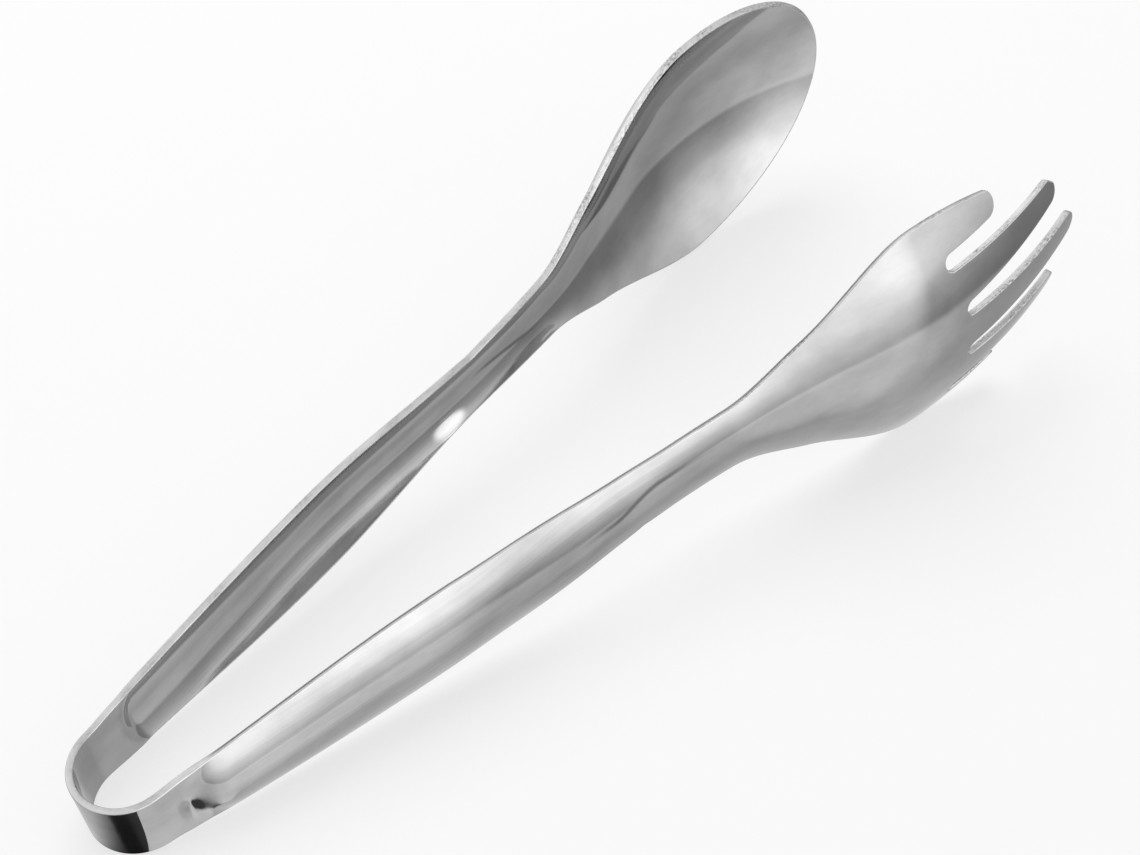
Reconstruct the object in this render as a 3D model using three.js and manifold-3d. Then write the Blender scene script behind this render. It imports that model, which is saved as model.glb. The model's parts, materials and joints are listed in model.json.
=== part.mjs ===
import * as THREE from "three";
import { mergeVertices } from "three/addons/utils/BufferGeometryUtils.js";
import Module from "manifold-3d";

// Steak tongs: one strip of polished stainless steel, bent into a U.
// The closed end is a flat spring bow. Each arm is a fluted handle, a narrow neck and a head,
// a spoon bowl on one arm and a five-pronged fork on the other, with their hollow sides facing.
//
// The strip is drawn in its own frame: +X from the bow to the tips, +Y towards the spoon arm and
// +Z across the strip's width. "Along" is a distance along the strip from the middle of the bow,
// and "across" a distance from its centre line. The whole is then laid on its side on the table.
// Lengths are in millimetres and angles in degrees.

// The sheet, and the gap that parts neighbouring pieces of the strip
const SHEET = 1.5;
const GAP = 0.3;

// The bow, with its radius to the middle of the sheet
const BOW_RADIUS = 10.2;
const BOW_WIDTH = 14.4;
const BOW_LEAN = 7.5;

// The handles, the same on both arms, measured along the strip from the end of the bow
const FLUTE_START = 6.5;
const FLUTE_RAMP = 4;
const FLUTE_SCALLOP = 2.5;
const FLUTE_WIDTH = 15.8;
const FLUTE_DEPTH = 1.6;
const HANDLE_LENGTH = 110;
const HANDLE_WIDTH = 22.8;
const HANDLE_DEPTH = 4;
const HANDLE_BACK_LEAN = 6.6;
const HANDLE_LEAN = 7.3;
const HANDLE_WIDEST_SHARE = 0.58;
const HANDLE_BACK_SHARE = 0.34;

// The necks, from the notch where the handle ends to the start of the head
const NOTCH_WIDTH = 15.6;
const NOTCH_DEPTH = 2;
const NOTCH_LEAN = 6.5;
const NECK_LENGTH = 23;
const NECK_WIDTH = 16.8;
const NECK_DEPTH = 2.2;

// The heels, where the necks open out into the heads
const HEEL_LENGTH = 18.6;
const HEEL_WIDTH = 31;
const HEEL_DEPTH = 4.5;
const HEEL_LEAN = 12.4;

// The spoon bowl, from its heel to its widest place, and from there to its tip
const SPOON_BODY_LENGTH = 35;
const SPOON_WIDTH = 58.4;
const SPOON_DEPTH = 10;
const SPOON_LEAN = 4.5;
const SPOON_NOSE_LENGTH = 42.4;
const SPOON_NOSE_LEAN = 2.6;

// The fork head, the same way, and its prongs: one in the middle and the rest in pairs
const FORK_BODY_LENGTH = 27.2;
const FORK_WIDTH = 57;
const FORK_DEPTH = 9;
const FORK_LEAN = 6.4;
const FORK_NOSE_LENGTH = 45;
const FORK_NOSE_LEAN = 5.4;
const PRONG_PAIRS = 2;
const PRONG_TIP_WIDTH = 5.4;
const SLOT_WIDTH = 3.6;
const SLOT_PITCH = 12.4;
// Where the prongs end along the nose and stand across it, and where the slots end,
// each from the centre line outwards
const PRONG_TIP_SHARES = [1, 0.87, 0.47];
const PRONG_SPREAD_SHARES = [0, 0.47, 0.82];
const SLOT_ROOT_SHARES = [0.17, 0.11];

// How finely the faces are drawn
const BOW_ROWS = 30;
const RAMP_ROWS = 4;
const HANDLE_ROWS = 24;
const NECK_ROWS = 6;
const HEAD_ROWS = 12;
const NOSE_ROWS = 12;
const HANDLE_COLUMNS = 8;
const HEAD_COLUMNS = 12;
const ARC_SEGMENTS = 8;
const LINE_STEPS = 600;
const SLOPE_STEP = 0.02;
const CUT_OVERRUN = 6;

const { degToRad } = THREE.MathUtils;

const wasm = await Module();
wasm.setup();

// Places along the strip that both arms share
const bowEnd = BOW_RADIUS * (Math.PI / 2 - degToRad(BOW_LEAN));
const fluteStart = bowEnd + FLUTE_START;
const handleBack = bowEnd + HANDLE_LENGTH * HANDLE_BACK_SHARE;
const handleWidest = bowEnd + HANDLE_LENGTH * HANDLE_WIDEST_SHARE;
const notch = bowEnd + HANDLE_LENGTH;
const neckEnd = notch + NECK_LENGTH;
const heel = neckEnd + HEEL_LENGTH;

// A smooth line through [place, value] points that never overshoots them and is level at both ends.
function smoothLine(points) {
  const rises = points.slice(1).map(([place, value], k) => (value - points[k][1]) / (place - points[k][0]));
  const slopes = points.map((point, k) => {
    const product = k > 0 && k < rises.length ? rises[k - 1] * rises[k] : 0;
    return product > 0 ? (2 * product) / (rises[k - 1] + rises[k]) : 0;
  });
  return (place) => {
    const last = points.length - 2;
    const found = points.findIndex((point, k) => k > last || place < points[k + 1][0]);
    const k = Math.min(found, last);
    const span = points[k + 1][0] - points[k][0];
    const t = THREE.MathUtils.clamp((place - points[k][0]) / span, 0, 1);
    const low = points[k][1] * (1 + 2 * t) + t * span * slopes[k];
    const high = points[k + 1][1] * (3 - 2 * t) - (1 - t) * span * slopes[k + 1];
    return low * (1 - t) ** 2 + high * t ** 2;
  };
}

// The centre line of the strip, walked from the middle of the bow by the lean at each step.
function centreLine(leanAt, length) {
  const step = length / LINE_STEPS;
  const points = [new THREE.Vector2(0, 0)];
  for (let k = 0; k < LINE_STEPS; k += 1) {
    const lean = leanAt((k + 0.5) * step);
    const move = new THREE.Vector2(Math.cos(lean), Math.sin(lean)).multiplyScalar(step);
    points.push(points[k].clone().add(move));
  }
  return (along) => {
    const place = THREE.MathUtils.clamp(along / step, 0, LINE_STEPS);
    const k = Math.min(Math.floor(place), LINE_STEPS - 1);
    return points[k].clone().lerp(points[k + 1], place - k);
  };
}

// One arm of the strip, from the middle of the bow to the tip of its head. Leans are in radians.
function makeArm(head) {
  const widest = heel + head.bodyLength;
  const tip = widest + head.noseLength;
  const legLean = smoothLine([
    [bowEnd, degToRad(BOW_LEAN)], [handleBack, degToRad(HANDLE_BACK_LEAN)],
    [handleWidest, degToRad(HANDLE_LEAN)], [notch, degToRad(NOTCH_LEAN)],
    [heel, degToRad(HEEL_LEAN)], [widest, head.lean], [tip, head.noseLean],
  ]);
  const leanAt = (along) => (along < bowEnd ? Math.PI / 2 - along / BOW_RADIUS : legLean(along));
  const widthAt = smoothLine([
    [bowEnd, BOW_WIDTH], [fluteStart, FLUTE_WIDTH], [handleWidest, HANDLE_WIDTH],
    [notch, NOTCH_WIDTH], [neckEnd, NECK_WIDTH], [heel, HEEL_WIDTH], [widest, head.width],
  ]);
  const depthAt = smoothLine([
    [fluteStart, FLUTE_DEPTH], [handleWidest, HANDLE_DEPTH],
    [notch, NOTCH_DEPTH], [neckEnd, NECK_DEPTH], [heel, HEEL_DEPTH], [widest, head.depth],
  ]);
  const halfWidthAt = (along) => {
    const share = Math.max(along - widest, 0) / head.noseLength;
    return (widthAt(along) / 2) * Math.sqrt(Math.max(1 - share ** 2, 0));
  };
  const dishAt = (along, across) => {
    if (along > widest) {
      const share = (along - widest) / head.noseLength;
      return head.depth * (1 - share ** 2 - (across / (head.width / 2)) ** 2);
    }
    const share = across / (widthAt(along) / 2);
    const past = along - fluteStart - FLUTE_SCALLOP * share ** 2;
    return THREE.MathUtils.smoothstep(past, 0, FLUTE_RAMP) * depthAt(along) * (1 - share ** 2);
  };
  return { widest, tip, leanAt, halfWidthAt, dishAt, lineAt: centreLine(leanAt, tip) };
}

const spoonArm = makeArm({
  bodyLength: SPOON_BODY_LENGTH, width: SPOON_WIDTH, depth: SPOON_DEPTH,
  noseLength: SPOON_NOSE_LENGTH,
  lean: degToRad(SPOON_LEAN), noseLean: degToRad(SPOON_NOSE_LEAN),
});

const forkArm = makeArm({
  bodyLength: FORK_BODY_LENGTH, width: FORK_WIDTH, depth: FORK_DEPTH,
  noseLength: FORK_NOSE_LENGTH,
  lean: degToRad(FORK_LEAN), noseLean: degToRad(FORK_NOSE_LEAN),
});

// The directions along the strip and out of it, away from the other arm.
function frameAt(arm, along) {
  const lean = arm.leanAt(along);
  return {
    forward: new THREE.Vector3(Math.cos(lean), Math.sin(lean), 0),
    outward: new THREE.Vector3(-Math.sin(lean), Math.cos(lean), 0),
  };
}

// A point of the sheet, raised by an offset square to the sheet from its middle.
function sheetPoint(arm, along, across, raised) {
  const { forward, outward } = frameAt(arm, along);
  const line = arm.lineAt(along);
  const { dishAt } = arm;
  const slopeAlong = dishAt(along + SLOPE_STEP, across) - dishAt(along - SLOPE_STEP, across);
  const slopeAcross = dishAt(along, across + SLOPE_STEP) - dishAt(along, across - SLOPE_STEP);
  const normal = outward.clone()
    .addScaledVector(forward, -slopeAlong / (2 * SLOPE_STEP))
    .addScaledVector(new THREE.Vector3(0, 0, 1), -slopeAcross / (2 * SLOPE_STEP))
    .normalize();
  return new THREE.Vector3(line.x, line.y, across)
    .addScaledVector(outward, dishAt(along, across))
    .addScaledVector(normal, raised);
}

// Even places from one value to another, both included.
function evenPlaces(from, to, count) {
  return Array.from({ length: count + 1 }, (unused, k) => from + ((to - from) * k) / count);
}

// Places along the rounded nose, closer together towards the tip.
function nosePlaces(arm) {
  const turns = evenPlaces(0, Math.PI / 2, NOSE_ROWS);
  return turns.map((turn) => arm.widest + (arm.tip - arm.widest) * Math.sin(turn));
}

// An indexed geometry from vertices and triangles, with coinciding vertices merged
// and the triangles that close up to a line left out.
function closedGeometry(vertices, triangles) {
  const loose = new THREE.BufferGeometry();
  loose.setAttribute("position", new THREE.Float32BufferAttribute(vertices.flatMap((v) => v.toArray()), 3));
  loose.setIndex(triangles.flat());
  const merged = mergeVertices(loose);
  const corners = Array.from(merged.index.array);
  const kept = [];
  for (let k = 0; k < corners.length; k += 3) {
    const [a, b, c] = corners.slice(k, k + 3);
    if (a !== b && b !== c && c !== a) kept.push(a, b, c);
  }
  merged.setIndex(kept);
  merged.computeVertexNormals();
  return merged;
}

// The piece of sheet that runs through the given rows. A row is a ring of points round the
// section: the outer face from one edge to the other, then the inner face back again.
function sheetGeometry(rows) {
  const ring = rows[0].length;
  const triangles = [];
  for (let row = 0; row + 1 < rows.length; row += 1) {
    for (let k = 0; k < ring; k += 1) {
      const next = (k + 1) % ring;
      const low = row * ring;
      const high = low + ring;
      triangles.push([low + k, low + next, high + next], [low + k, high + next, high + k]);
    }
  }
  const lastRow = (rows.length - 1) * ring;
  for (let k = 0; k + 1 < ring / 2; k += 1) {
    const back = ring - 1 - k;
    triangles.push([k, back, back - 1], [k, back - 1, k + 1]);
    triangles.push([lastRow + k, lastRow + back - 1, lastRow + back]);
    triangles.push([lastRow + k, lastRow + k + 1, lastRow + back - 1]);
  }
  return closedGeometry(rows.flat(), triangles);
}

// The ring of points round the strip's section at one place.
function sectionRing(arm, along, columns) {
  const half = arm.halfWidthAt(along);
  const places = evenPlaces(-half, half, columns);
  const outer = places.map((across) => sheetPoint(arm, along, across, SHEET / 2));
  const inner = places.map((across) => sheetPoint(arm, along, across, -SHEET / 2));
  return [...outer, ...inner.reverse()];
}

// The same geometry on the other arm's side of the strip.
function mirrored(geometry) {
  const flipped = geometry.clone().scale(1, -1, 1);
  const corners = Array.from(flipped.index.array);
  flipped.setIndex(corners.map((corner, k) => corners[k + [0, 1, -1][k % 3]]));
  flipped.computeVertexNormals();
  return flipped;
}

function toSolid(geometry) {
  const bare = geometry.clone();
  bare.deleteAttribute("normal");
  bare.deleteAttribute("uv");
  const merged = mergeVertices(bare);
  return new wasm.Manifold(new wasm.Mesh({
    numProp: 3,
    vertProperties: new Float32Array(merged.attributes.position.array),
    triVerts: new Uint32Array(merged.index.array),
  }));
}

function fromSolid(solid) {
  const mesh = solid.getMesh();
  const geometry = new THREE.BufferGeometry();
  geometry.setAttribute("position", new THREE.BufferAttribute(mesh.vertProperties, 3));
  geometry.setIndex(new THREE.BufferAttribute(mesh.triVerts, 1));
  geometry.computeVertexNormals();
  return geometry;
}

// The U-shaped bow: half of it from each arm's side, drawn as one run of rows.
function bowGeometry() {
  const places = evenPlaces(0, bowEnd - GAP / 2, BOW_ROWS / 2);
  const spoonSide = places.map((along) => sectionRing(spoonArm, along, 1));
  const forkSide = spoonSide.slice(1).reverse();
  const flip = new THREE.Vector3(1, -1, 1);
  const flipped = forkSide.map((ring) => ring.map((point) => point.clone().multiply(flip)));
  return sheetGeometry([...flipped, ...spoonSide]);
}

// A handle with its neck.
function handleGeometry(arm) {
  const flute = fluteStart + FLUTE_RAMP + FLUTE_SCALLOP;
  const places = [
    bowEnd + GAP / 2,
    ...evenPlaces(fluteStart, flute, RAMP_ROWS),
    ...evenPlaces(flute, notch, HANDLE_ROWS).slice(1),
    ...evenPlaces(notch, neckEnd - GAP / 2, NECK_ROWS).slice(1),
  ];
  return sheetGeometry(places.map((along) => sectionRing(arm, along, HANDLE_COLUMNS)));
}

// A head without slots, from the neck to its tip.
function headGeometry(arm) {
  const body = evenPlaces(neckEnd + GAP / 2, arm.widest, HEAD_ROWS);
  const places = [...body, ...nosePlaces(arm).slice(1)];
  return sheetGeometry(places.map((along) => sectionRing(arm, along, HEAD_COLUMNS)));
}

// The fork's outline seen square to the sheet, with x along it from its widest place.
// It follows the prongs and the slots, and runs outside the head everywhere else.
function forkOutline() {
  const side = FORK_WIDTH / 2 + CUT_OVERRUN;
  const back = -(HEEL_LENGTH + FORK_BODY_LENGTH + CUT_OVERRUN);
  const tipRadius = PRONG_TIP_WIDTH / 2;
  const slotRadius = SLOT_WIDTH / 2;
  const outline = new THREE.Shape();
  outline.moveTo(back, side);
  outline.lineTo(back, -side);
  for (let prong = -PRONG_PAIRS; prong <= PRONG_PAIRS; prong += 1) {
    const rank = Math.abs(prong);
    const tipX = FORK_NOSE_LENGTH * PRONG_TIP_SHARES[rank] - tipRadius;
    const tipY = Math.sign(prong) * (FORK_WIDTH / 2) * PRONG_SPREAD_SHARES[rank];
    if (prong === -PRONG_PAIRS) outline.lineTo(tipX, -side);
    outline.lineTo(tipX, tipY - tipRadius);
    outline.absarc(tipX, tipY, tipRadius, -Math.PI / 2, Math.PI / 2, false);
    if (prong === PRONG_PAIRS) {
      outline.lineTo(tipX, side);
    } else {
      const slotY = SLOT_PITCH * (prong + 0.5);
      const slotRank = Math.floor(Math.abs(prong + 0.5));
      const slotX = FORK_NOSE_LENGTH * SLOT_ROOT_SHARES[slotRank] + slotRadius;
      outline.lineTo(slotX, slotY - slotRadius);
      outline.absarc(slotX, slotY, slotRadius, -Math.PI / 2, Math.PI / 2, true);
    }
  }
  outline.closePath();
  return outline;
}

// The fork head: the dished blank with its slots and prong ends punched square to the rim.
function forkHeadGeometry() {
  const height = FORK_DEPTH + SHEET + 2 * CUT_OVERRUN;
  const punch = new THREE.ExtrudeGeometry(forkOutline(), {
    depth: height, curveSegments: ARC_SEGMENTS, bevelEnabled: false,
  });
  const { forward, outward } = frameAt(forkArm, forkArm.widest);
  const widthways = new THREE.Vector3().crossVectors(outward, forward);
  const line = forkArm.lineAt(forkArm.widest);
  const seat = new THREE.Vector3(line.x, line.y, 0).addScaledVector(outward, -CUT_OVERRUN);
  const place = new THREE.Matrix4().makeBasis(forward, widthways, outward).setPosition(seat);
  punch.applyMatrix4(place);
  return fromSolid(toSolid(headGeometry(forkArm)).intersect(toSolid(punch)));
}

function polishedSteel(colour) {
  return new THREE.MeshStandardMaterial({ color: colour, roughness: 0.18, metalness: 1 });
}

function part(name, geometry, colour) {
  const mesh = new THREE.Mesh(geometry, polishedSteel(colour));
  mesh.name = name;
  return mesh;
}

// The tilt, in radians, that brings the heads down on the table beside the bow's lower corner.
function restTilt(meshes) {
  const cornerX = -SHEET / 2;
  const cornerZ = -BOW_WIDTH / 2;
  const point = new THREE.Vector3();
  let tilt = 0;
  for (const { geometry } of meshes) {
    for (let k = 0; k < geometry.attributes.position.count; k += 1) {
      point.fromBufferAttribute(geometry.attributes.position, k);
      tilt = Math.max(tilt, Math.atan2(cornerZ - point.z, point.x - cornerX));
    }
  }
  return tilt;
}

// Lays the strip on its side on the table, with the origin on the table under its middle.
function laidDown(meshes) {
  const strip = new THREE.Group();
  strip.add(...meshes);
  strip.rotation.y = -restTilt(meshes);
  const tongs = new THREE.Group();
  tongs.add(strip);
  tongs.updateMatrixWorld(true);
  const box = new THREE.Box3().setFromObject(strip, true);
  const centre = box.getCenter(new THREE.Vector3());
  strip.position.set(-centre.x, -centre.y, -box.min.z);
  tongs.updateMatrixWorld(true);
  return tongs;
}

const tongs = laidDown([
  part("spring_bow", bowGeometry(), 0xb9bbbe),
  part("spoon_handle", handleGeometry(spoonArm), 0xb4b6b9),
  part("spoon_bowl", headGeometry(spoonArm), 0xbcbec1),
  part("fork_handle", mirrored(handleGeometry(forkArm)), 0xb4b6b9),
  part("fork_head", mirrored(forkHeadGeometry()), 0xbcbec1),
]);
tongs.name = "steak_tongs";

export default tongs;
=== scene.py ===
import json
import math

import bpy
import numpy as np
from mathutils import Matrix, Vector
from mathutils.geometry import delaunay_2d_cdt


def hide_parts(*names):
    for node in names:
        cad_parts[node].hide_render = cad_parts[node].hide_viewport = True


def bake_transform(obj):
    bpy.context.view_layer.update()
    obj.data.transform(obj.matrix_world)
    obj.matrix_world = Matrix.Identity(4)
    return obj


# Steak tongs: one strip of polished stainless steel, bent into a U.
#
# The strip is built as two smooth pieces, which meet in the middle of the spring bow: the spoon
# side and the fork side. Both are drawn in the strip's own frame, in millimetres: X from the bow
# to the tips, Y towards the spoon arm and Z across the strip. "Along" is a distance along the
# strip from the middle of the bow, "across" a distance from its centre line, and "raised" a
# distance from the middle of the sheet, away from the other arm.

MM = 0.001

# The sheet and the rounding of its cut edges
SHEET = 1.5
EDGE_RADIUS = 0.3

# The bow, with its radius to the middle of the sheet
BOW_RADIUS = 10.2
BOW_WIDTH = 14.4
BOW_LEAN = 7.5

# The handles, the same on both arms, measured along the strip from the end of the bow
FLUTE_START = 6.5
FLUTE_SCALLOP = 2.5
FLUTE_WIDTH = 15.8
HANDLE_LENGTH = 110
HANDLE_WIDTH = 22.8
HANDLE_DEPTH = 4
HANDLE_BACK_LEAN = 6.6
HANDLE_LEAN = 7.3
HANDLE_WIDEST_SHARE = 0.58
HANDLE_BACK_SHARE = 0.34

# The necks, from the notch where the handle ends to the start of the head, and the heels
NOTCH_WIDTH = 15.6
NOTCH_DEPTH = 2
NOTCH_LEAN = 6.5
NECK_LENGTH = 23
NECK_WIDTH = 16.8
NECK_DEPTH = 2.2
HEEL_LENGTH = 18.6
HEEL_WIDTH = 31
HEEL_DEPTH = 4.5
HEEL_LEAN = 12.4

# The heads: the body runs from the heel to the widest place, the nose from there to the tip
SPOON = {"body": 35, "width": 58.4, "depth": 10, "lean": 4.5, "nose": 42.4, "nose_lean": 2.6}
FORK = {"body": 27.2, "width": 57, "depth": 9, "lean": 6.4, "nose": 45, "nose_lean": 5.4}

# Fine forms of the sheet, which differ a little between the arms: how deep the flute is at its
# start and a third of the way along, the length of its ramp and how far before its start that
# begins, how deep the dimple is, and the slope of a slight twist, by place along the arm
SPOON_FORM = {
    "depth": 1.8,
    "back_depth": 3,
    "ramp": 4,
    "lead": 0,
    "dimple": 0,
    "twist": [(0, 0), (1, 0)],
}
FORK_FORM = {
    "depth": 3,
    "back_depth": 3.5,
    "ramp": 11,
    "lead": 2.5,
    "dimple": 0.75,
    "twist": [(84, 0), (112, -0.13), (121, -0.13), (134, -0.05), (156, 0)],
}

# The dimple's place and reach, along and across, and the pinch, which draws in one edge of each
# arm where the handle ends
DIMPLE_PLACE = (20.9, -1.4)
DIMPLE_REACH = (1.4, 2.5)
PINCH_DEPTH = 1.4
PINCH_REACH = 6

# Painted shade: dark lines beside the notch, where the tone is made darker in place of the dark
# reflections of the creases there. Where each runs from one place across the strip to another, and
# where along the strip it begins, is full, starts to fade and is gone. The width says how far from
# its middle it is still full, and how far out it ends.
FORK_CREASE_SHADE = {"run": (117, 130), "across": (0.5, 3), "shown": (108, 120, 127, 146)}
SPOON_CREASE_SHADE = {"run": (124, 150), "across": (-0.4, -3.6), "shown": (123, 131, 137, 150)}
CREASE_SHADE_WIDTH = (0.1, 0.8)
PAINTED_CREASE_SHADE = 0.22

# The fork's prongs, one in the middle and the rest in pairs, and the slots between them.
# The shares are of the nose, or of half the width, from the centre line outwards.
PRONG_PAIRS = 2
PRONG_TIP_WIDTH = 5.4
SLOT_WIDTH = 3.6
SLOT_PITCH = 12.4
PRONG_TIP_SHARES = [1, 0.87, 0.47]
PRONG_SPREAD_SHARES = [0, 0.47, 0.82]
SLOT_ROOT_SHARES = [0.17, 0.11]

# How finely the sheet is drawn. Grid points keep clear of the outline by a share of their step,
# and points of the outline closer than a share of its step count as doubles.
FACE_STEP = 0.9
FACE_CLEAR_SHARE = 0.6
EDGE_STEP = 0.6
EDGE_DOUBLE_SHARE = 0.25
MERGE_DISTANCE = 0.00001
ARC_STEPS = 14
ROUNDING_STEPS = 4
LINE_STEPS = 2400
SLOPE_STEP = 0.01

# Two places along the strip near the bow, where make_tongs finds the sheet of each arm and then
# leaves it unused
BEND_START = 4
BEND_END = 20

# The polished faces. A pattern's scale is the size of its grains in millimetres along the strip,
# across it and in from its edge. Tones and roughnesses run from 0 to 1, and depths are in metres.
STEEL_TONE = 0.42
STEEL_BLUE = 1.01
SMUDGES = {"scale": (22, 14, 22), "detail": 4, "roughness": 0.6}
SMUDGE_TONE = 0.05
SMUDGE_TONE_SPAN = (0.35, 0.65)
SMUDGE_ROUGHNESS = (0.02, 0.1)
WAVES = {"scale": (26, 11, 26), "detail": 1}
WAVE_DEPTH = 0.00012
STREAKS = {"scale": (70, 0.7, 8), "detail": 3}
STREAK_TONE = 0.12
STREAK_DEPTH = 0.000012
HAIRLINES = {"scale": (30, 0.14, 3), "detail": 2}
HAIRLINE_DEPTH = 0.0000035
FAINT_MARKS = 0.15
MARKED_ROUGHNESS = 0.05

# The cut edge, whose patterns run along the rim and through the sheet
EDGE_TONE = 0.56
EDGE_PATCHES = {"scale": (9, 2, 9), "detail": 2}
EDGE_PATCH_TONE = 0.1
EDGE_ROUGHNESS = (0.22, 0.45)
EDGE_GRAINS = {"scale": (0.9, 0.5, 0.9), "detail": 3, "roughness": 0.7}
EDGE_GRAIN_TONE = (0.05, 0.35)
EDGE_GRAIN_SPAN = (0.4, 0.65)
EDGE_GRAIN_DEPTH = 0.00003
EDGE_LEAST_WEAR = 0.3

# The middle of a noise, and the span that most of it lies in
NOISE_MIDDLE = 0.5
NOISE_SPAN = (0.3, 0.7)

# The camera, at the photograph's angle
CAMERA_AZIMUTH = -40.8
CAMERA_ELEVATION = 46.34
CAMERA_ROLL = -3.29
CAMERA_TARGET = (0.0055, -0.0004, 0.02)
CAMERA_DISTANCE = 0.5054
CAMERA_LENS = 78.95
CAMERA_SENSOR = 36

# The light on plain surfaces: an even world and one large soft lamp, in metres and watts
WORLD_LIGHT = 0.6
LAMP_PLACE = (0.15, 0.35, 0.9)
LAMP_SIZE = 0.8
LAMP_POWER = 5

# The table, in metres, and how much of plain white the camera sees in it
WHITE = (1, 1, 1, 1)
FLOOR_REACH = 3
FLOOR_COLOUR = (0.9, 0.9, 0.9, 1)
FLOOR_WHITE_SHARE = 0.65

# What the steel reflects, by direction: heights in degrees above the horizon, azimuths in degrees
# from +X towards +Y, and brightness where 1 is white. The pale table ends at its edge, the wall
# beyond lightens upwards, and the ceiling is plain.
TABLE_LEVEL = 0.7
TABLE_EDGE = (-28, -25)
LOW_WALL_LEVEL = 0.33
WALL_RISE = 0.5
WALL_HEIGHTS = (-26, 10)
CEILING_LEVEL = 1.0
CEILING_HEIGHTS = (30, 60)

# Soft boxes: azimuth, the turn from there to where each starts to fade and to where it ends, the
# heights where it begins and is full, and how much brighter it is than what is behind it
SOFTBOXES = [
    (-100, 14, 34, -90, -80, 0.3),
    (-98, 8, 30, -32, -26, 0.15),
    (-97, 8, 48, -28, 0, 0.6),
    (-60, 25, 60, -20, 12, 0.35),
    (90, 30, 60, 0, 20, 0.5),
]

# Faint patches of the same kind: the table is dimmer beyond the tongs and brighter in front of
# them, which a second patch takes back on the wall, and the wall is dimmer beyond the tongs
FAINT_PATCHES = [
    (-18, 18, 48, -64, -48, -0.14),
    (-18, 18, 48, -30, -24, 0.14),
    (-75, 10, 36, -60, -42, 0.12),
    (-85, 12, 40, -20, -10, -0.16),
    (-20, 10, 35, -26, -10, -0.1),
]

# The dark camera and tripod: azimuth with its full and faded turns, and heights where it thins out
CAMERA_SHADE = 0.9
CAMERA_SHADE_SPAN = (-158, 10, 28)
CAMERA_SHADE_HEIGHTS = (-20, 20)

# How finely the two cards below are drawn, both ways
CARD_STEPS = 24

# The dark card beside the bow, in metres and degrees, which only the steel sees. It fades in over
# a share of its turn.
CARD_HEIGHT = 0.0004
CARD_COLOUR = (0.03, 0.03, 0.03, 1)
CARD_CENTRE = (-0.107, -0.001)
CARD_RADII = (0.0088, 0.032)
CARD_ANGLES = (-194, -115.5)
CARD_SHADE = 0.95
CARD_FADE = 0.7

# The small bright card that stands between the arms, which the spoon arm shows as a white spot.
# Its radii are across and up, and a share of each is full, with the rest fading.
GLINT_PLACE = (0.0013, 0.005, 0.0113)
GLINT_RADII = (0.0066, 0.0027)
GLINT_STRENGTH = 2.4
GLINT_FULL_SHARE = 0.6

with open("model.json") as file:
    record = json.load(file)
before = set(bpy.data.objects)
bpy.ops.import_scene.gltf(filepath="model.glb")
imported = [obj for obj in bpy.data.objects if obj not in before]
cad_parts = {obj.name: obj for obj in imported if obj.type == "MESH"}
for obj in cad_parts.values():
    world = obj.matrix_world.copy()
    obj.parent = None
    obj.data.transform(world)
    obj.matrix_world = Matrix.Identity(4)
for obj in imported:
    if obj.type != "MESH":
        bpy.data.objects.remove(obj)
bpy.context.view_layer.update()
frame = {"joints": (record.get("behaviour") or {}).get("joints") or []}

bow_end = BOW_RADIUS * math.radians(90 - BOW_LEAN)
flute_start = bow_end + FLUTE_START
handle_back = bow_end + HANDLE_LENGTH * HANDLE_BACK_SHARE
handle_widest = bow_end + HANDLE_LENGTH * HANDLE_WIDEST_SHARE
notch = bow_end + HANDLE_LENGTH
neck_end = notch + NECK_LENGTH
heel = neck_end + HEEL_LENGTH


def smooth_line(points):
    """A smooth line through (place, value) points, which never overshoots them and is level at
    both ends."""
    places, values = np.array(points, float).T
    rises = np.diff(values) / np.diff(places)
    product = rises[:-1] * rises[1:]
    total = rises[:-1] + rises[1:]
    slopes = np.zeros(len(places))
    slopes[1:-1] = np.divide(2 * product, total, out=np.zeros_like(total), where=product > 0)

    def value_at(place):
        k = np.clip(np.searchsorted(places, place, side="right") - 1, 0, len(places) - 2)
        span = places[k + 1] - places[k]
        t = np.clip((place - places[k]) / span, 0, 1)
        low = values[k] * (1 + 2 * t) + t * span * slopes[k]
        high = values[k + 1] * (3 - 2 * t) - (1 - t) * span * slopes[k + 1]
        return low * (1 - t) ** 2 + high * t**2

    return value_at


def unit(vectors):
    return vectors / np.linalg.norm(vectors, axis=-1, keepdims=True)


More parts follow.
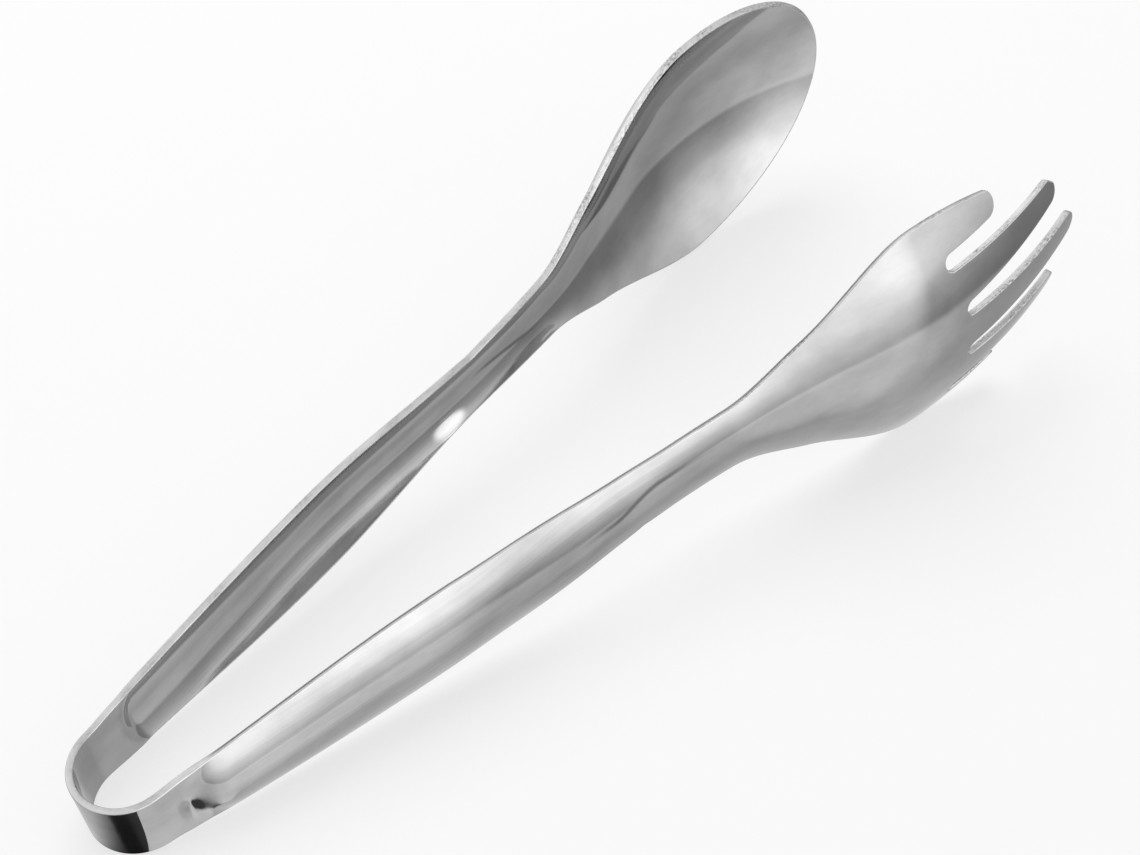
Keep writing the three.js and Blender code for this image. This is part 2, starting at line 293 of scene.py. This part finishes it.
class Arm:
    """One arm of the strip, from the middle of the bow to the tip of its head."""

    def __init__(self, head, form, pinched):
        self.head = head
        self.form = form
        self.pinched = pinched
        self._twist = smooth_line(form["twist"])
        self.widest = heel + head["body"]
        self.tip = self.widest + head["nose"]
        self._leg_lean = smooth_line(
            [
                (bow_end, BOW_LEAN),
                (handle_back, HANDLE_BACK_LEAN),
                (handle_widest, HANDLE_LEAN),
                (notch, NOTCH_LEAN),
                (heel, HEEL_LEAN),
                (self.widest, head["lean"]),
                (self.tip, head["nose_lean"]),
            ]
        )
        self._width = smooth_line(
            [
                (bow_end, BOW_WIDTH),
                (flute_start, FLUTE_WIDTH),
                (handle_widest, HANDLE_WIDTH),
                (notch, NOTCH_WIDTH),
                (neck_end, NECK_WIDTH),
                (heel, HEEL_WIDTH),
                (self.widest, head["width"]),
            ]
        )
        self._depth = smooth_line(
            [
                (flute_start, form["depth"]),
                (handle_back, form["back_depth"]),
                (handle_widest, HANDLE_DEPTH),
                (notch, NOTCH_DEPTH),
                (neck_end, NECK_DEPTH),
                (heel, HEEL_DEPTH),
                (self.widest, head["depth"]),
            ]
        )
        step = self.tip / LINE_STEPS
        lean = self.lean((np.arange(LINE_STEPS) + 0.5) * step)
        self._places = np.arange(LINE_STEPS + 1) * step
        self._line_x = np.concatenate([[0], np.cumsum(np.cos(lean) * step)])
        self._line_y = np.concatenate([[0], np.cumsum(np.sin(lean) * step)])

    def lean(self, along):
        """The lean of the centre line away from X, in radians."""
        turned = math.pi / 2 - along / BOW_RADIUS
        return np.where(along < bow_end, turned, np.radians(self._leg_lean(along)))

    def half_width(self, along):
        share = np.maximum(along - self.widest, 0) / self.head["nose"]
        return self._width(along) / 2 * np.sqrt(np.maximum(1 - share**2, 0))

    def pinch(self, rim):
        """The same outline with the pinched edge drawn in beside the notch."""
        depth = PINCH_DEPTH * np.exp(-np.abs(rim[:, 0] - notch) / PINCH_REACH)
        drawn_in = np.where(rim[:, 1] * self.pinched > 0, depth * self.pinched, 0)
        return np.stack([rim[:, 0], rim[:, 1] - drawn_in], -1)

    def dish(self, along, across):
        """How far the sheet bulges away from the other arm: flute, neck and bowl."""
        nose_share = (along - self.widest) / self.head["nose"]
        rim_share = across / (self.head["width"] / 2)
        nose = self.head["depth"] * (1 - nose_share**2 - rim_share**2)
        share = across / (self._width(along) / 2)
        start = flute_start - self.form["lead"] + FLUTE_SCALLOP * share**2
        t = np.clip((along - start) / self.form["ramp"], 0, 1)
        begun = t**3 * (10 - 15 * t + 6 * t**2)
        body = begun * self._depth(along) * (1 - share**2) + self._twist(along) * across
        from_dimple = (along - DIMPLE_PLACE[0]) / DIMPLE_REACH[0]
        off = (across - DIMPLE_PLACE[1]) / DIMPLE_REACH[1]
        body = body - self.form["dimple"] * np.exp(-(from_dimple**2) - off**2)
        return np.where(along > self.widest, nose, body)

    def sheet(self, along, across, raised):
        """Points of the sheet and its normals there, away from the other arm."""
        lean = self.lean(along)
        zero = np.zeros_like(lean)
        forward = np.stack([np.cos(lean), np.sin(lean), zero], -1)
        outward = np.stack([-np.sin(lean), np.cos(lean), zero], -1)
        line_x = np.interp(along, self._places, self._line_x)
        line_y = np.interp(along, self._places, self._line_y)
        rise_along = self.dish(along + SLOPE_STEP, across) - self.dish(along - SLOPE_STEP, across)
        rise_across = self.dish(along, across + SLOPE_STEP) - self.dish(along, across - SLOPE_STEP)
        slope_along = (rise_along / (2 * SLOPE_STEP))[:, None]
        slope_across = (rise_across / (2 * SLOPE_STEP))[:, None]
        normal = unit(outward - forward * slope_along - np.array([0, 0, 1]) * slope_across)
        middle = np.stack([line_x, line_y, across], -1)
        bulge = outward * self.dish(along, across)[:, None]
        return middle + bulge + normal * np.asarray(raised)[..., None], normal


def arc(centre, radius, start, turn):
    """Points on an arc in the plan, from a start angle on through a turn, in degrees."""
    angles = np.radians(start + turn * np.linspace(0, 1, ARC_STEPS + 1))
    return np.array(centre) + radius * np.stack([np.cos(angles), np.sin(angles)], -1)


def side_rim(arm, end):
    """The strip's upper edge in the plan, from the middle of the bow to a place along it."""
    straight_end = min(end, arm.widest)
    straight = np.linspace(0, straight_end, round(straight_end / EDGE_STEP) + 1)
    nose_turn = math.asin(min(max(end - arm.widest, 0) / arm.head["nose"], 1))
    turns = np.linspace(0, nose_turn, round(arm.head["width"] / EDGE_STEP) + 1)[1:]
    along = np.concatenate([straight, arm.widest + arm.head["nose"] * np.sin(turns)])
    return np.stack([along, arm.half_width(along)], -1)


def spoon_rim(arm):
    upper = side_rim(arm, arm.tip)
    return arm.pinch(np.concatenate([upper, upper[-2::-1] * [1, -1]]))


def fork_rim(arm):
    """The fork's edge in the plan: along the blank's side, round each prong and slot, and back."""
    nose, half_width = arm.head["nose"], arm.head["width"] / 2
    tip_radius, slot_radius = PRONG_TIP_WIDTH / 2, SLOT_WIDTH / 2
    outer_end = arm.widest + nose * PRONG_TIP_SHARES[PRONG_PAIRS] - tip_radius
    runs = [side_rim(arm, outer_end)]
    for prong in range(PRONG_PAIRS, -PRONG_PAIRS - 1, -1):
        tip = (
            arm.widest + nose * PRONG_TIP_SHARES[abs(prong)] - tip_radius,
            math.copysign(half_width * PRONG_SPREAD_SHARES[abs(prong)], prong),
        )
        runs.append(arc(tip, tip_radius, 90, -180))
        if prong > -PRONG_PAIRS:
            place = prong - 0.5
            root_share = SLOT_ROOT_SHARES[int(abs(place))]
            root = (arm.widest + nose * root_share + slot_radius, SLOT_PITCH * place)
            runs.append(arc(root, slot_radius, 90, 180))
    runs.append(side_rim(arm, outer_end)[::-1] * [1, -1])
    rim = evenly_spaced(np.concatenate(runs))
    limit = arm.half_width(rim[:, 0])
    rim[:, 1] = np.clip(rim[:, 1], -limit, limit)
    return arm.pinch(rim)


def evenly_spaced(rim):
    """The same line with points added where two neighbours stand far apart, and with near doubles
    left out."""
    points = [rim[0]]
    for point in rim[1:]:
        start = points[-1]
        length = np.linalg.norm(point - start)
        if length < EDGE_STEP * EDGE_DOUBLE_SHARE:
            continue
        steps = math.ceil(length / EDGE_STEP)
        points.extend(start + (point - start) * k / steps for k in range(1, steps + 1))
    points[-1] = rim[-1]
    return np.array(points)


def plan_normals(rim):
    """Unit vectors in the plan that point out of the outline, for its points in order."""
    ahead = np.concatenate([rim[1:], rim[-1:]])
    behind = np.concatenate([rim[:1], rim[:-1]])
    steps = ahead - behind
    return unit(np.stack([-steps[:, 1], steps[:, 0]], -1))


def inside_points(outline, step):
    """Points of a grid that lie inside the outline and clear of it."""
    low, high = outline.min(0), outline.max(0)
    columns = np.arange(low[0] + step, high[0], step)
    half_rows = int(high[1] / step) + 1
    rows = np.arange(-half_rows, half_rows + 1) * step
    grid = np.stack(np.meshgrid(columns, rows, indexing="ij"), -1).reshape(-1, 2)
    starts, ends = outline, np.roll(outline, -1, 0)
    clearance = step * FACE_CLEAR_SHARE
    kept = []
    for point in grid:
        crosses = (starts[:, 1] > point[1]) != (ends[:, 1] > point[1])
        rise = np.where(crosses, ends[:, 1] - starts[:, 1], 1)
        at = starts[:, 0] + (point[1] - starts[:, 1]) / rise * (ends[:, 0] - starts[:, 0])
        inside = np.count_nonzero(crosses & (at > point[0])) % 2
        if inside and np.min(np.linalg.norm(starts - point, axis=1)) > clearance:
            kept.append(point)
    return np.array(kept)


def filled(outline):
    """The outline's points, with points inside them, and the triangles between."""
    points = np.concatenate([outline, inside_points(outline, FACE_STEP)])
    loop = list(range(len(outline)))
    only_inside = 1
    vectors = [Vector(point) for point in points]
    found = delaunay_2d_cdt(vectors, [], [loop], only_inside, MERGE_DISTANCE)
    sources = [min(source) for source in found[3]]
    triangles = [[sources[k] for k in face] for face in found[2]]
    return points, triangles


def strip_to_row(frame):
    """The matrix from the strip's frame to the row frame, found from the two hinges."""
    joints = {joint["name"]: joint for joint in frame["joints"]}
    spoon_hinge = Vector(joints["spoon_arm_flex"]["pos_m"])
    fork_hinge = Vector(joints["fork_arm_flex"]["pos_m"])
    y_axis = (spoon_hinge - fork_hinge).normalized()
    z_axis = Vector(joints["fork_arm_flex"]["axis"]).normalized()
    x_axis = y_axis.cross(z_axis)
    reach = BOW_RADIUS * (1 - math.cos(bow_end / BOW_RADIUS)) * MM
    origin = (spoon_hinge + fork_hinge) / 2 - x_axis * reach
    turn = Matrix((x_axis, y_axis, z_axis)).transposed().to_4x4()
    return Matrix.Translation(origin) @ turn @ Matrix.Scale(MM, 4)


STRIP_TO_ROW = strip_to_row(frame)


def cut_profile():
    """The cut edge in section, from the outer face to the inner one: how far in from the rim each
    row lies, its height from the middle of the sheet, and the angle that it faces."""
    quarter = np.radians(90 * np.linspace(1, 0, ROUNDING_STEPS + 1))
    insets = EDGE_RADIUS * (1 - np.cos(quarter))
    heights = SHEET / 2 - EDGE_RADIUS * (1 - np.sin(quarter))
    upper = list(zip(insets, heights, quarter))
    return upper + [(inset, -height, -angle) for inset, height, angle in reversed(upper)]


def face_plan(rim, normals):
    """A face of the sheet in the plan, inside the rounding: its points, first those beside the rim
    and then those across the end in the middle of the bow, its triangles, and how many the end
    has between the corners."""
    boundary = rim - normals * EDGE_RADIUS
    end_steps = round((boundary[0, 1] - boundary[-1, 1]) / FACE_STEP)
    end_across = np.linspace(boundary[-1, 1], boundary[0, 1], end_steps + 1)[1:-1]
    end_points = np.stack([np.zeros_like(end_across), end_across], -1)
    plan, triangles = filled(np.concatenate([boundary, end_points]))
    return plan, triangles, len(end_points)


def strip_points(arm, rim, normals, plan):
    """The points of one side of the strip, the way each faces, and its place for the patterns of
    the steel: those of the outer face, of the inner face, and of the cut edge row by row."""
    from_rim = np.array([np.min(np.linalg.norm(rim - point, axis=1)) for point in plan])
    points, facings, places = [], [], []
    for face in (1, -1):
        raised = np.full(len(plan), face * SHEET / 2)
        at, sheet_normals = arm.sheet(plan[:, 0], plan[:, 1], raised)
        points.append(at)
        facings.append(face * sheet_normals)
        places.append(np.column_stack([plan, from_rim]))

    run = np.concatenate([[0], np.cumsum(np.linalg.norm(np.diff(rim, axis=0), axis=1))])
    for inset, height, angle in cut_profile()[1:-1]:
        row = rim - normals * inset
        raised = np.full(len(rim), height)
        at, sheet_normals = arm.sheet(row[:, 0], row[:, 1], raised)
        away = unit(np.cross(np.gradient(at, axis=0), sheet_normals))
        points.append(at)
        facings.append(unit(away * math.cos(angle) + sheet_normals * math.sin(angle)))
        places.append(np.column_stack([run, raised, np.zeros(len(rim))]))
    return [np.concatenate(parts) for parts in (points, facings, places)]


def strip_faces(triangles, plan_count, rim_count, end_count):
    """The faces between those points, with the end in the middle of the bow last, and the number
    of each one's material: 0 for polished steel and 1 for the cut edge."""
    faces = [[a, c, b] for a, b, c in triangles]
    faces += [[plan_count + a, plan_count + b, plan_count + c] for a, b, c in triangles]
    materials = [0] * len(faces)

    # Rows of points from the outer face's rim over the cut edge to the inner face's
    round_rim = np.arange(rim_count)
    rows = [round_rim]
    rows += [2 * plan_count + k * rim_count + round_rim for k in range(len(cut_profile()) - 2)]
    rows += [plan_count + round_rim]
    for upper, lower in zip(rows, rows[1:]):
        for k in range(rim_count - 1):
            faces.append([upper[k], lower[k], lower[k + 1], upper[k + 1]])
            materials.append(1)

    end_run = np.arange(rim_count, rim_count + end_count)
    end_face = [row[0] for row in reversed(rows)] + list(end_run[::-1])
    end_face += [row[-1] for row in rows] + list(plan_count + end_run)
    faces.append(end_face)
    materials.append(0)
    return [[int(k) for k in face] for face in faces], materials


def add_object(name, data):
    """A new object in the scene, from its mesh, lamp or camera."""
    thing = bpy.data.objects.new(name, data)
    bpy.context.scene.collection.objects.link(thing)
    return thing


def strip_piece(name, arm, rim, side, materials):
    """One side of the strip as a closed mesh: two faces, their rounded cut edge, and the end in
    the middle of the bow. side is 1 for the spoon arm and -1 for the fork arm, its mirror image."""
    normals = plan_normals(rim)
    plan, triangles, end_count = face_plan(rim, normals)
    points, facings, places = strip_points(arm, rim, normals, plan)
    faces, face_materials = strip_faces(triangles, len(plan), len(rim), end_count)
    if side < 0:
        faces = [face[::-1] for face in faces]

    mirror = [1, side, 1]
    to_row = np.array(STRIP_TO_ROW.to_3x3())
    turn = to_row / MM
    row_points = (points * mirror) @ to_row.T + np.array(STRIP_TO_ROW.translation)
    row_facings = (facings * mirror) @ turn.T
    end_facing = turn @ np.array([0, -side, 0])

    mesh = bpy.data.meshes.new(name)
    mesh.from_pydata(row_points.tolist(), [], faces, shade_flat=False)
    for material in materials:
        mesh.materials.append(material)
    mesh.polygons.foreach_set("material_index", face_materials)
    place = mesh.attributes.new("strip_place", "FLOAT_VECTOR", "POINT")
    place.data.foreach_set("vector", places.astype(np.float32).ravel())
    corner_normals = [row_facings[k] for face in faces[:-1] for k in face]
    corner_normals += [end_facing] * len(faces[-1])
    mesh.normals_split_custom_set(np.array(corner_normals).tolist())
    mesh.update()
    return add_object(name, mesh)


class Nodes:
    """Short calls for the nodes of one material or world."""

    def __init__(self, owner):
        self.owner = owner
        owner.use_nodes = True
        self.tree = owner.node_tree
        self.tree.nodes.clear()

    def add(self, kind, settings=None, **inputs):
        node = self.tree.nodes.new(kind)
        for key, value in (settings or {}).items():
            setattr(node, key, value)
        for key, value in inputs.items():
            self.feed(node.inputs[key.replace("_", " ")], value)
        return node

    def feed(self, socket, value):
        if isinstance(value, bpy.types.NodeSocket):
            self.tree.links.new(value, socket)
        else:
            socket.default_value = value

    def maths(self, operation, *values):
        node = self.tree.nodes.new("ShaderNodeMath")
        node.operation = operation
        for socket, value in zip(node.inputs, values):
            self.feed(socket, value)
        return node.outputs[0]

    def mix(self, share, low, high):
        """A number between two others."""
        node = self.tree.nodes.new("ShaderNodeMix")
        for name, value in (("Factor", share), ("A", low), ("B", high)):
            self.feed(next(s for s in node.inputs if s.name == name and s.enabled), value)
        return node.outputs[0]

    def ramp(self, value, low, high, start=0.0, end=1.0, smooth=False):
        """A value mapped from the range start to end onto the range low to high."""
        settings = {"interpolation_type": "SMOOTHSTEP" if smooth else "LINEAR"}
        ranges = {"From_Min": start, "From_Max": end, "To_Min": low, "To_Max": high}
        return self.add("ShaderNodeMapRange", settings, Value=value, **ranges).outputs["Result"]

    def attribute(self, name):
        return self.add("ShaderNodeAttribute", {"attribute_name": name}).outputs

    def noise(self, place, scale, detail=2.0, roughness=0.5):
        """Noise from 0 to 1, whose grains are as many millimetres long each way as scale says."""
        mapping = self.add("ShaderNodeMapping", Vector=place, Scale=[1 / size for size in scale])
        form = {"Scale": 1.0, "Detail": detail, "Roughness": roughness}
        node = self.add("ShaderNodeTexNoise", Vector=mapping.outputs["Vector"], **form)
        return node.outputs["Fac"]

    def bump(self, height, depth, normal=None):
        """The normal over marks that are depth metres deep, on top of another normal or plain."""
        node = self.add("ShaderNodeBump", Height=height, Distance=depth, Strength=1.0)
        if normal is not None:
            self.feed(node.inputs["Normal"], normal)
        return node.outputs["Normal"]

    def metal(self, tone, roughness, normal):
        """Bare steel, grey with a trace of blue."""
        blue = self.maths("MULTIPLY", tone, STEEL_BLUE)
        colour = self.add("ShaderNodeCombineColor", Red=tone, Green=tone, Blue=blue)
        return self.add(
            "ShaderNodeBsdfPrincipled",
            Base_Color=colour.outputs["Color"],
            Metallic=1.0,
            Roughness=roughness,
            Normal=normal,
        )

    def mixed(self, share, first, second):
        """One shader mixed with another."""
        node = self.add("ShaderNodeMixShader", Fac=share)
        self.tree.links.new(first.outputs[0], node.inputs[1])
        self.tree.links.new(second.outputs[0], node.inputs[2])
        return node

    def output(self, shader):
        is_world = isinstance(self.owner, bpy.types.World)
        kind = "ShaderNodeOutputWorld" if is_world else "ShaderNodeOutputMaterial"
        self.add(kind, Surface=shader.outputs[0])
        return self.owner


def crease_shade_line(nodes, along, across, shaded_crease):
    """How far a place lies in a line of painted shade, from 0 beside it to 1 in its middle."""
    path = nodes.ramp(along, *shaded_crease["across"], *shaded_crease["run"], smooth=True)
    distance = nodes.maths("ABSOLUTE", nodes.maths("SUBTRACT", across, path))
    line = nodes.ramp(distance, 1, 0, *CREASE_SHADE_WIDTH, smooth=True)
    begin, full, fade, gone = shaded_crease["shown"]
    begun = nodes.ramp(along, 0, 1, begin, full, smooth=True)
    left = nodes.ramp(along, 1, 0, fade, gone, smooth=True)
    return nodes.maths("MULTIPLY", line, nodes.maths("MULTIPLY", begun, left))


def polished_steel(name, shaded_crease):
    """Polished strip: soft waves from the pressing, faint smudges, and lengthwise polishing marks,
    which are strong on the handles and faint on the bow and the mirror-like heads. Painted shade
    darkens the tone along a line beside the notch on each arm."""
    nodes = Nodes(bpy.data.materials.new(name))
    place = nodes.attribute("strip_place")["Vector"]
    parts = nodes.add("ShaderNodeSeparateXYZ", Vector=place).outputs
    along, across = parts["X"], parts["Y"]
    drawn_handle = nodes.ramp(along, FAINT_MARKS, 1.0, flute_start, handle_back, smooth=True)
    mirror_head = nodes.ramp(along, 1.0, FAINT_MARKS, notch, neck_end, smooth=True)
    marked = nodes.maths("MULTIPLY", drawn_handle, mirror_head)

    def marks(pattern):
        """Polishing marks, both up and down, as strong as a place is marked."""
        level = nodes.maths("SUBTRACT", nodes.noise(place, **pattern), NOISE_MIDDLE)
        return nodes.maths("MULTIPLY", level, marked)

    smudges = nodes.noise(place, **SMUDGES)
    streaks, hairlines = marks(STREAKS), marks(HAIRLINES)

    tones = STEEL_TONE - SMUDGE_TONE, STEEL_TONE + SMUDGE_TONE
    tone = nodes.ramp(smudges, *tones, *SMUDGE_TONE_SPAN)
    tone = nodes.maths("ADD", tone, nodes.maths("MULTIPLY", streaks, STREAK_TONE))
    # Painted shade: the tone is made darker along the lines beside the notch.
    painted_shade = crease_shade_line(nodes, along, across, shaded_crease)
    tone = nodes.maths("SUBTRACT", tone, nodes.maths("MULTIPLY", painted_shade, PAINTED_CREASE_SHADE))

    roughness = nodes.ramp(smudges, *SMUDGE_ROUGHNESS, *NOISE_SPAN)
    roughness = nodes.maths("ADD", roughness, nodes.maths("MULTIPLY", marked, MARKED_ROUGHNESS))

    normal = nodes.bump(nodes.noise(place, **WAVES), WAVE_DEPTH)
    normal = nodes.bump(streaks, STREAK_DEPTH, normal)
    normal = nodes.bump(hairlines, HAIRLINE_DEPTH, normal)
    return nodes.output(nodes.metal(tone, roughness, normal))


def cut_edge():
    """The cut edge: rougher than the faces, with dark pits and bright burnished patches. They are
    weak on the upper edge of the bow and the handles, and strong on the heads and below."""
    nodes = Nodes(bpy.data.materials.new("cut_edge"))
    place = nodes.attribute("strip_place")["Vector"]
    run = nodes.add("ShaderNodeSeparateXYZ", Vector=place).outputs["X"]
    worn = nodes.ramp(run, EDGE_LEAST_WEAR, 1.0, notch, heel, smooth=True)
    grains = nodes.noise(place, **EDGE_GRAINS)
    patches = nodes.noise(place, **EDGE_PATCHES)

    pitted = nodes.ramp(patches, *EDGE_GRAIN_TONE, *EDGE_GRAIN_SPAN)
    pitted = nodes.maths("MULTIPLY", pitted, worn)
    speckle = nodes.maths("MULTIPLY", nodes.ramp(grains, -1, 1, *NOISE_SPAN), pitted)
    tones = EDGE_TONE + EDGE_PATCH_TONE, EDGE_TONE - EDGE_PATCH_TONE
    tone = nodes.maths("ADD", nodes.ramp(patches, *tones, *NOISE_SPAN), speckle)
    roughness = nodes.ramp(patches, *EDGE_ROUGHNESS)
    normal = nodes.bump(nodes.maths("MULTIPLY", grains, worn), EDGE_GRAIN_DEPTH)
    return nodes.output(nodes.metal(tone, roughness, normal))


def make_tongs():
    edge = cut_edge()
    spoon_materials = [polished_steel("spoon_steel", SPOON_CREASE_SHADE), edge]
    fork_materials = [polished_steel("fork_steel", FORK_CREASE_SHADE), edge]
    spoon_arm, fork_arm = Arm(SPOON, SPOON_FORM, 1), Arm(FORK, FORK_FORM, -1)
    spoon = strip_piece("spoon_side", spoon_arm, spoon_rim(spoon_arm), 1, spoon_materials)
    fork = strip_piece("fork_side", fork_arm, fork_rim(fork_arm), -1, fork_materials)
    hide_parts("spring_bow", "spoon_handle", "spoon_bowl")
    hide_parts("spring_bow", "fork_handle", "fork_head")
    sides = ((spoon, spoon_arm, "spoon_arm", 1), (fork, fork_arm, "fork_arm", -1))
    for piece, arm, body, side in sides:
        for along in (BEND_START, BEND_END):
            points, _ = arm.sheet(np.array([along]), np.zeros(1), np.zeros(1))
        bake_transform(piece)


def make_floor():
    """A plain pale table, white to the camera, which keeps the shadow of the tongs."""
    signs = ((-1, -1), (1, -1), (1, 1), (-1, 1))
    corners = [(x * FLOOR_REACH, y * FLOOR_REACH, 0) for x, y in signs]
    mesh = bpy.data.meshes.new("floor")
    mesh.from_pydata(corners, [], [(0, 1, 2, 3)])
    nodes = Nodes(bpy.data.materials.new("floor"))
    seen = nodes.add("ShaderNodeLightPath").outputs["Is Camera Ray"]
    diffuse = nodes.add("ShaderNodeBsdfDiffuse", Color=FLOOR_COLOUR)
    white = nodes.add("ShaderNodeEmission", Color=WHITE, Strength=1.0)
    white_share = nodes.maths("MULTIPLY", seen, FLOOR_WHITE_SHARE)
    mesh.materials.append(nodes.output(nodes.mixed(white_share, diffuse, white)))
    floor = add_object("floor", mesh)
    # The steel sees the pale table in the world instead, with the studio round it
    floor.visible_glossy = False


def smooth_step(value):
    value = min(max(value, 0), 1)
    return value * value * (3 - 2 * value)


def card_shares():
    """How far out and how far round each corner of a card's grid lies, from 0 to 1."""
    shares = [k / CARD_STEPS for k in range(CARD_STEPS + 1)]
    return [(out, turned) for out in shares for turned in shares]


def stage_card(name, corners, shades, kind, **inputs):
    """A card for the steel alone to reflect: the corners of its grid, how solid each is, and the
    kind of its shader with that one's inputs."""
    row = CARD_STEPS + 1
    first_corners = [k * row + j for k in range(CARD_STEPS) for j in range(CARD_STEPS)]
    faces = [(k, k + row, k + row + 1, k + 1) for k in first_corners]
    mesh = bpy.data.meshes.new(name)
    mesh.from_pydata(corners, [], faces)
    mesh.attributes.new("shade", "FLOAT", "POINT").data.foreach_set("value", shades)
    nodes = Nodes(bpy.data.materials.new(name))
    clear, solid = nodes.add("ShaderNodeBsdfTransparent"), nodes.add(kind, **inputs)
    shade = nodes.attribute("shade")["Fac"]
    mesh.materials.append(nodes.output(nodes.mixed(shade, clear, solid)))
    card = add_object(name, mesh)
    card.visible_camera = card.visible_diffuse = card.visible_shadow = False


def make_card():
    """A dark card that lies on the table beside the bow, as photographers use, for the steel to
    reflect. It is a sector of a ring, and fades round towards the middle of the bow."""
    x, y = CARD_CENTRE
    corners, shades = [], []
    for out, turned in card_shares():
        radius = CARD_RADII[0] + (CARD_RADII[1] - CARD_RADII[0]) * out
        angle = math.radians(CARD_ANGLES[0] + (CARD_ANGLES[1] - CARD_ANGLES[0]) * turned)
        corners.append((x + radius * math.cos(angle), y + radius * math.sin(angle), CARD_HEIGHT))
        shades.append(CARD_SHADE * smooth_step(turned / CARD_FADE))
    stage_card("bow_card", corners, shades, "ShaderNodeBsdfDiffuse", Color=CARD_COLOUR)


def make_glint():
    """A small upright bright card between the arms, fading at its edge, which only the steel
    sees."""
    x, y, z = GLINT_PLACE
    across, up = GLINT_RADII
    corners, shades = [], []
    for out, turned in card_shares():
        angle = 2 * math.pi * turned
        corners.append((x + across * out * math.cos(angle), y, z + up * out * math.sin(angle)))
        shades.append(smooth_step((1 - out) / (1 - GLINT_FULL_SHARE)))
    glow = {"Color": WHITE, "Strength": GLINT_STRENGTH}
    stage_card("glint_card", corners, shades, "ShaderNodeEmission", **glow)


def studio_brightness(nodes):
    """The studio by direction, as the polished steel reflects it."""
    direction = nodes.add("ShaderNodeTexCoord").outputs["Generated"]
    parts = nodes.add("ShaderNodeSeparateXYZ", Vector=direction).outputs
    x, y, z = parts["X"], parts["Y"], parts["Z"]
    height = nodes.maths("MULTIPLY", nodes.maths("ARCSINE", z), math.degrees(1))
    level = nodes.maths("SQRT", nodes.maths("SUBTRACT", 1, nodes.maths("MULTIPLY", z, z)))

    def faces(azimuth, full, faded):
        """How far a direction lies inside a span of azimuths with soft ends, from 0 to 1."""
        turn = math.radians(azimuth)
        east = nodes.maths("MULTIPLY", x, math.cos(turn))
        north = nodes.maths("MULTIPLY", y, math.sin(turn))
        facing = nodes.maths("DIVIDE", nodes.maths("ADD", east, north), level)
        ends = [math.cos(math.radians(angle)) for angle in (faded, full)]
        return nodes.ramp(facing, 0, 1, *ends, smooth=True)

    total = nodes.ramp(height, TABLE_LEVEL, LOW_WALL_LEVEL, *TABLE_EDGE, smooth=True)
    total = nodes.maths("ADD", total, nodes.ramp(height, 0, WALL_RISE, *WALL_HEIGHTS, smooth=True))
    for azimuth, full, faded, low, high, brightness in SOFTBOXES + FAINT_PATCHES:
        risen = nodes.ramp(height, 0, brightness, low, high, smooth=True)
        patch = nodes.maths("MULTIPLY", faces(azimuth, full, faded), risen)
        total = nodes.maths("ADD", total, patch)
    total = nodes.mix(nodes.ramp(height, 0, 1, *CEILING_HEIGHTS, smooth=True), total, CEILING_LEVEL)
    dark = nodes.ramp(height, CAMERA_SHADE, 0, *CAMERA_SHADE_HEIGHTS, smooth=True)
    shade = nodes.maths("MULTIPLY", faces(*CAMERA_SHADE_SPAN), dark)
    return nodes.maths("MULTIPLY", total, nodes.maths("SUBTRACT", 1, shade))


def make_world():
    """White behind the object, the studio in its reflections, and a plain soft light all round."""
    world = bpy.data.worlds.new("studio")
    bpy.context.scene.world = world
    nodes = Nodes(world)
    path = nodes.add("ShaderNodeLightPath").outputs
    reflected = nodes.maths("MAXIMUM", path["Is Glossy Ray"], path["Is Transmission Ray"])
    lit = nodes.mix(reflected, WORLD_LIGHT, studio_brightness(nodes))
    strength = nodes.mix(path["Is Camera Ray"], lit, 1.0)
    nodes.output(nodes.add("ShaderNodeBackground", Color=WHITE, Strength=strength))


def make_lamp():
    """One large soft lamp above, which gives the object its shadow on the table."""
    data = bpy.data.lights.new("lamp", "AREA")
    data.shape = "SQUARE"
    data.size = LAMP_SIZE
    data.energy = LAMP_POWER
    lamp = add_object("lamp", data)
    lamp.location = LAMP_PLACE
    lamp.rotation_euler = (-Vector(LAMP_PLACE)).to_track_quat("-Z", "Y").to_euler()
    lamp.visible_glossy = False


def make_camera():
    azimuth, elevation = math.radians(CAMERA_AZIMUTH), math.radians(CAMERA_ELEVATION)
    back = Vector(
        (
            math.sin(azimuth) * math.cos(elevation),
            -math.cos(azimuth) * math.cos(elevation),
            math.sin(elevation),
        )
    )
    right = (-back).cross(Vector((0, 0, 1))).normalized()
    turn = Matrix((right, back.cross(right), back)).transposed().to_4x4()
    roll = Matrix.Rotation(math.radians(CAMERA_ROLL), 4, "Z")
    data = bpy.data.cameras.new("camera")
    data.lens = CAMERA_LENS
    data.sensor_width = CAMERA_SENSOR
    camera = add_object("camera", data)
    place = Vector(CAMERA_TARGET) + back * CAMERA_DISTANCE
    camera.matrix_world = Matrix.Translation(place) @ turn @ roll
    bpy.context.scene.camera = camera


make_camera()
make_world()
make_lamp()
make_floor()
make_card()
make_glint()
make_tongs()
bpy.context.scene.view_settings.view_transform = "Standard"
